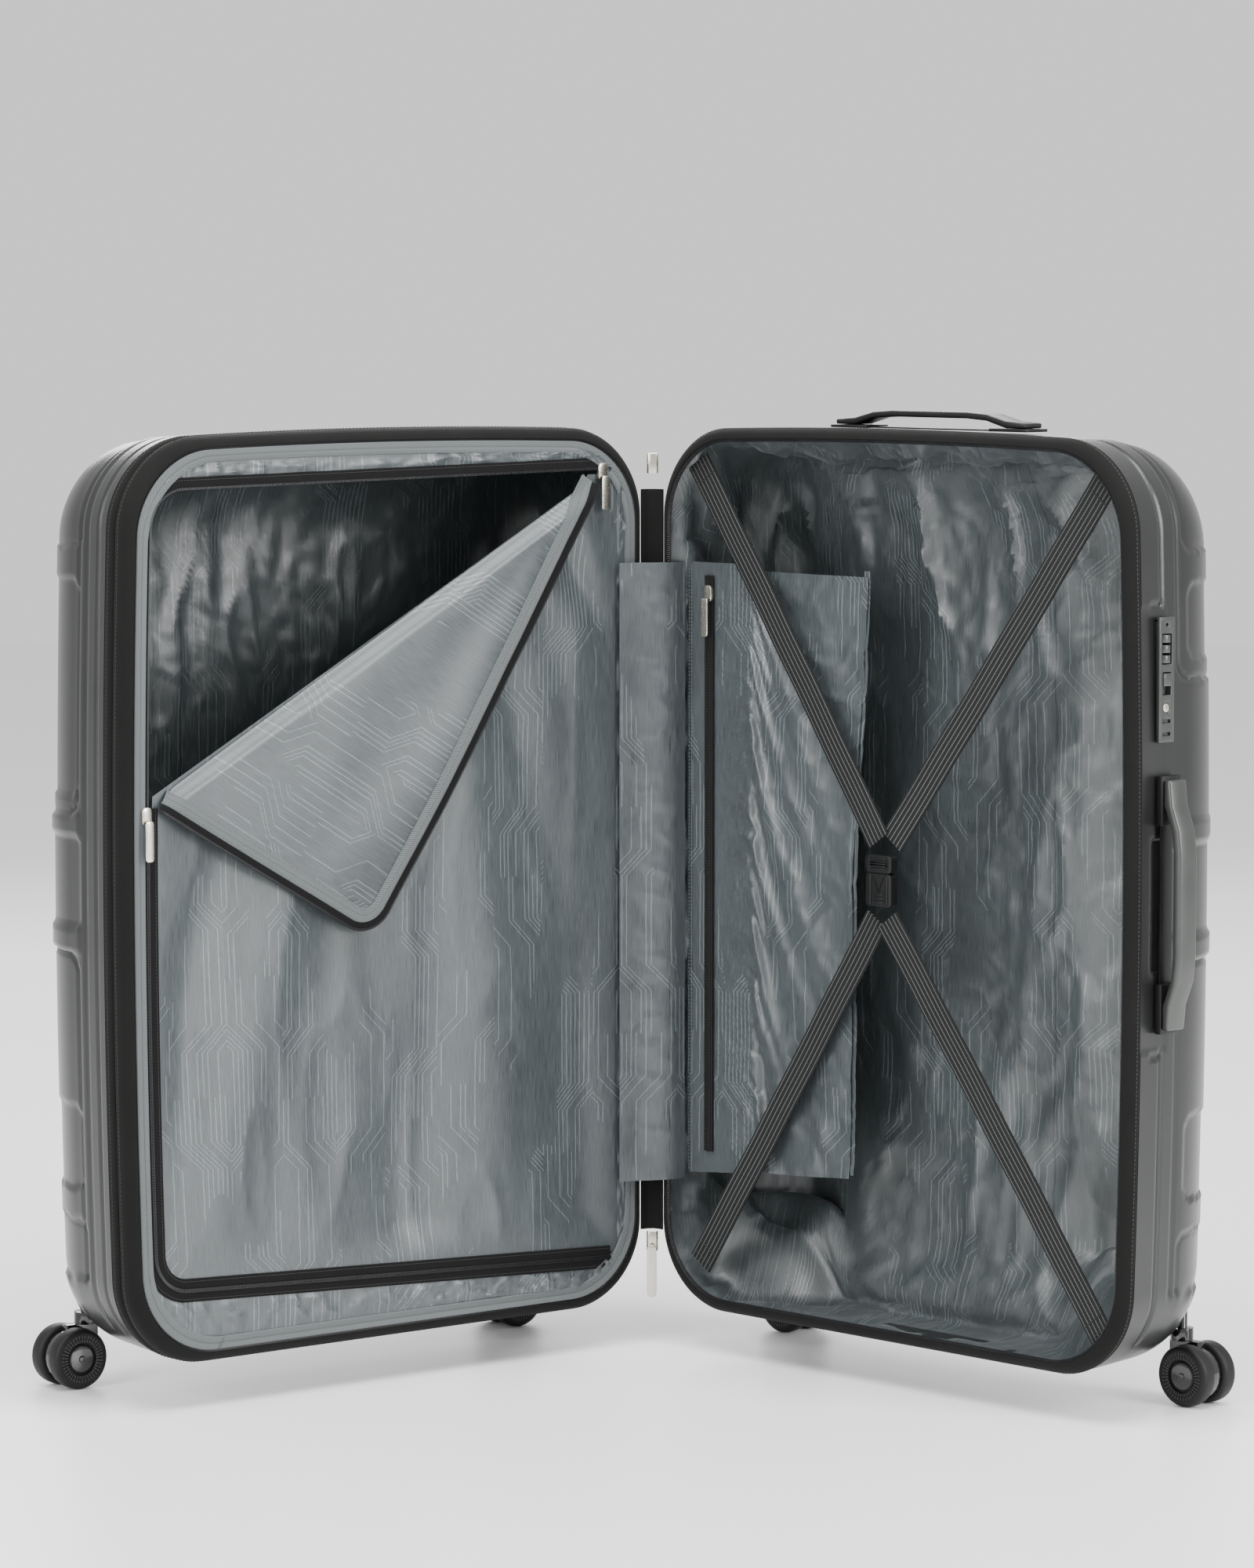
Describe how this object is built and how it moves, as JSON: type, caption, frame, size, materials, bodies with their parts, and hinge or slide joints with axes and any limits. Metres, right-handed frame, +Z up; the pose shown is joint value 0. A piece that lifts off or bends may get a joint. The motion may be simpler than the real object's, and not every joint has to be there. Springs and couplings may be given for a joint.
{
  "type": "hard shell suitcase",
  "caption": "Hard shell suitcase on swivelling twin-wheel casters, standing open like a book: expandable half with zipped divider, back half with cross straps.",
  "frame": {"origin": "centre of the open case's footprint box, on the floor", "axes": "+Z up; +Y away from the open side, through the hinge spine; +X towards the free side of the back half, which holds the lock and handles"},
  "size_m": [0.9782, 0.456, 0.7963],
  "materials": {
    "shell": "satin gunmetal polycarbonate with a fine diagonal texture",
    "lining": "satin polyester, grey-blue, tone-on-tone line pattern",
    "textile": "black woven polyester tape and webbing",
    "plastic": "black moulded plastic, satin",
    "nickel": "satin nickel-plated zinc",
    "aluminium": "satin anodised tube",
    "tyre": "black polyurethane tyre on a black hub"
  },
  "bodies": {
    "back_case": {"back_shell": "shell", "back_rim_band": "textile", "back_lining": "lining", "strap_upper_hinge": "textile", "strap_upper_outer": "textile", "strap_lower_hinge": "textile", "strap_lower_outer": "textile", "buckle_socket": "plastic", "lock_case": "plastic", "side_handle_mount": "plastic", "top_handle_mount": "plastic", "trolley_cup": "plastic", "trolley_tube_frame": "aluminium", "wheel_housing_back_hinge": "plastic", "wheel_housing_back_outer": "plastic", "hinge_spine": "textile", "spine_cover": "lining", "main_slider_top": "nickel", "main_slider_bottom": "nickel"},
    "front_frame": {"expander_band": "textile", "divider_frame": "lining"},
    "front_case": {"front_shell": "shell", "front_rim_band": "textile", "front_lining": "lining", "wheel_housing_front_hinge": "plastic", "wheel_housing_front_outer": "plastic"},
    "divider_page": {"divider_page": "lining"},
    "divider_flap": {"divider_flap": "lining"},
    "divider_slider_top": {"divider_slider_top": "nickel"},
    "divider_puller_top": {"divider_puller_top": "nickel"},
    "divider_slider_side": {"divider_slider_side": "nickel"},
    "divider_puller_side": {"divider_puller_side": "nickel"},
    "pocket_panel": {"pocket_panel": "lining"},
    "pocket_zip_slider": {"pocket_zip_slider": "nickel"},
    "pocket_zip_puller": {"pocket_zip_puller": "nickel"},
    "buckle_plug": {"buckle_plug": "plastic"},
    "lock_dial_1": {"lock_dial_1": "plastic"},
    "lock_dial_2": {"lock_dial_2": "plastic"},
    "lock_dial_3": {"lock_dial_3": "plastic"},
    "lock_release_button": {"lock_release_button": "plastic"},
    "lock_key_cylinder": {"lock_key_cylinder": "nickel"},
    "side_handle_grip": {"side_handle_grip": "plastic"},
    "top_handle_grip": {"top_handle_grip": "plastic"},
    "trolley": {"trolley_inner_tube_1": "aluminium", "trolley_inner_tube_2": "aluminium", "trolley_grip": "plastic"},
    "trolley_button": {"trolley_button": "plastic"},
    "main_zip_puller": {"main_zip_puller": "nickel"},
    "caster_fork_back_hinge": {"caster_fork_back_hinge": "plastic"},
    "wheel_back_hinge_near": {"wheel_back_hinge_near": "tyre"},
    "wheel_back_hinge_far": {"wheel_back_hinge_far": "tyre"},
    "caster_fork_back_outer": {"caster_fork_back_outer": "plastic"},
    "wheel_back_outer_near": {"wheel_back_outer_near": "tyre"},
    "wheel_back_outer_far": {"wheel_back_outer_far": "tyre"},
    "caster_fork_front_hinge": {"caster_fork_front_hinge": "plastic"},
    "wheel_front_hinge_near": {"wheel_front_hinge_near": "tyre"},
    "wheel_front_hinge_far": {"wheel_front_hinge_far": "tyre"},
    "caster_fork_front_outer": {"caster_fork_front_outer": "plastic"},
    "wheel_front_outer_near": {"wheel_front_outer_near": "tyre"},
    "wheel_front_outer_far": {"wheel_front_outer_far": "tyre"}
  },
  "joints": [
    {"name": "case_hinge", "type": "hinge", "parent": "back_case", "child": "front_frame", "pos_m": [0.00563, 0.11709, 0.037], "axis": [0, 0, -1], "range_deg": [-97, 83], "deforming": ["hinge_spine", "spine_cover"]},
    {"name": "expander_slide", "type": "slide", "parent": "front_frame", "child": "front_case", "axis": [-0.6626, 0.749, 0], "range_m": [0, 0.025]},
    {"name": "divider_page_swing", "type": "hinge", "parent": "front_frame", "child": "divider_page", "pos_m": [-0.02177, 0.09524, 0.037], "axis": [0, 0, 1], "range_deg": [0, 85]},
    {"name": "divider_flap_fold", "type": "hinge", "parent": "divider_page", "child": "divider_flap", "pos_m": [-0.04732, 0.0713, 0.733], "axis": [-0.6533, -0.578, -0.4891], "range_deg": [0, 180]},
    {"name": "divider_slider_top_run", "type": "slide", "parent": "divider_page", "child": "divider_slider_top", "axis": [-0.749, -0.6626, 0], "range_m": [0, 0.36]},
    {"name": "divider_puller_top_swing", "type": "hinge", "parent": "divider_slider_top", "child": "divider_puller_top", "pos_m": [-0.03097, 0.07696, 0.737], "axis": [-0.749, -0.6626, 0], "range_deg": [0, 150]},
    {"name": "divider_slider_side_run", "type": "slide", "parent": "divider_page", "child": "divider_slider_side", "axis": [0, 0, 1], "range_m": [-0.36, 0.2]},
    {"name": "divider_puller_side_swing", "type": "hinge", "parent": "divider_slider_side", "child": "divider_puller_side", "pos_m": [-0.37025, -0.2232, 0.475], "axis": [-0.749, -0.6626, 0], "range_deg": [0, 150]},
    {"name": "pocket_panel_swing", "type": "hinge", "parent": "back_case", "child": "pocket_panel", "pos_m": [0.03427, 0.1238, 0.037], "axis": [0, 0, 1], "range_deg": [0, 20]},
    {"name": "pocket_slider_run", "type": "slide", "parent": "pocket_panel", "child": "pocket_zip_slider", "axis": [0, 0, 1], "range_m": [-0.455, 0.006]},
    {"name": "pocket_puller_swing", "type": "hinge", "parent": "pocket_zip_slider", "child": "pocket_zip_puller", "pos_m": [0.05007, 0.0994, 0.634], "axis": [-0.749, 0.6626, 0], "range_deg": [0, 150]},
    {"name": "buckle_release", "type": "slide", "parent": "back_case", "child": "buckle_plug", "axis": [0, 0, 1], "range_m": [0, 0.02], "deforming": ["strap_upper_hinge", "strap_upper_outer"]},
    {"name": "lock_dial_1_turn", "type": "hinge", "parent": "back_case", "child": "lock_dial_1", "pos_m": [0.42469, -0.20293, 0.624], "axis": [0, 0, 1], "continuous": true},
    {"name": "lock_dial_2_turn", "type": "hinge", "parent": "back_case", "child": "lock_dial_2", "pos_m": [0.42469, -0.20293, 0.616], "axis": [0, 0, 1], "continuous": true},
    {"name": "lock_dial_3_turn", "type": "hinge", "parent": "back_case", "child": "lock_dial_3", "pos_m": [0.42469, -0.20293, 0.608], "axis": [0, 0, 1], "continuous": true},
    {"name": "lock_release_push", "type": "slide", "parent": "back_case", "child": "lock_release_button", "axis": [0, 0, -1], "range_m": [0, 0.004], "stiffness_N_per_m": 300},
    {"name": "lock_key_turn", "type": "hinge", "parent": "back_case", "child": "lock_key_cylinder", "pos_m": [0.42394, -0.20226, 0.57], "axis": [0.749, -0.6626, 0], "range_deg": [0, 90]},
    {"name": "side_handle_lift", "type": "slide", "parent": "back_case", "child": "side_handle_grip", "axis": [0.749, -0.6626, 0], "range_m": [0, 0.008], "stiffness_N_per_m": 500},
    {"name": "top_handle_lift", "type": "slide", "parent": "back_case", "child": "top_handle_grip", "axis": [0, 0, 1], "range_m": [0, 0.012], "stiffness_N_per_m": 400},
    {"name": "trolley_slide", "type": "slide", "parent": "back_case", "child": "trolley", "axis": [0, 0, 1], "range_m": [0, 0.42]},
    {"name": "trolley_button_press", "type": "slide", "parent": "trolley", "child": "trolley_button", "axis": [0, 0, -1], "range_m": [0, 0.004], "stiffness_N_per_m": 400},
    {"name": "main_puller_swing", "type": "hinge", "parent": "back_case", "child": "main_zip_puller", "pos_m": [0.00563, 0.11029, 0.083], "axis": [-1, 0, 0], "range_deg": [0, 80]},
    {"name": "caster_swivel_back_hinge", "type": "hinge", "parent": "back_case", "child": "caster_fork_back_hinge", "pos_m": [0.13737, 0.17544, 0.037], "axis": [0, 0, 1], "continuous": true},
    {"name": "wheel_back_hinge_near_roll", "type": "hinge", "parent": "caster_fork_back_hinge", "child": "wheel_back_hinge_near", "pos_m": [0.12539, 0.18605, 0.025], "axis": [0.6626, 0.749, 0], "continuous": true},
    {"name": "wheel_back_hinge_far_roll", "type": "hinge", "parent": "caster_fork_back_hinge", "child": "wheel_back_hinge_far", "pos_m": [0.12539, 0.18605, 0.025], "axis": [0.6626, 0.749, 0], "continuous": true},
    {"name": "caster_swivel_back_outer", "type": "hinge", "parent": "back_case", "child": "caster_fork_back_outer", "pos_m": [0.44744, -0.09888, 0.037], "axis": [0, 0, 1], "continuous": true},
    {"name": "wheel_back_outer_near_roll", "type": "hinge", "parent": "caster_fork_back_outer", "child": "wheel_back_outer_near", "pos_m": [0.45942, -0.10948, 0.025], "axis": [0.6626, 0.749, 0], "continuous": true},
    {"name": "wheel_back_outer_far_roll", "type": "hinge", "parent": "caster_fork_back_outer", "child": "wheel_back_outer_far", "pos_m": [0.45942, -0.10948, 0.025], "axis": [0.6626, 0.749, 0], "continuous": true},
    {"name": "caster_swivel_front_hinge", "type": "hinge", "parent": "front_case", "child": "caster_fork_front_hinge", "pos_m": [-0.13737, 0.18818, 0.037], "axis": [0, 0, 1], "continuous": true},
    {"name": "wheel_front_hinge_near_roll", "type": "hinge", "parent": "caster_fork_front_hinge", "child": "wheel_front_hinge_near", "pos_m": [-0.12539, 0.19878, 0.025], "axis": [-0.6626, 0.749, 0], "continuous": true},
    {"name": "wheel_front_hinge_far_roll", "type": "hinge", "parent": "caster_fork_front_hinge", "child": "wheel_front_hinge_far", "pos_m": [-0.12539, 0.19878, 0.025], "axis": [-0.6626, 0.749, 0], "continuous": true},
    {"name": "caster_swivel_front_outer", "type": "hinge", "parent": "front_case", "child": "caster_fork_front_outer", "pos_m": [-0.44744, -0.08615, 0.037], "axis": [0, 0, 1], "continuous": true},
    {"name": "wheel_front_outer_near_roll", "type": "hinge", "parent": "caster_fork_front_outer", "child": "wheel_front_outer_near", "pos_m": [-0.45942, -0.09675, 0.025], "axis": [-0.6626, 0.749, 0], "continuous": true},
    {"name": "wheel_front_outer_far_roll", "type": "hinge", "parent": "caster_fork_front_outer", "child": "wheel_front_outer_far", "pos_m": [-0.45942, -0.09675, 0.025], "axis": [-0.6626, 0.749, 0], "continuous": true}
  ]
}
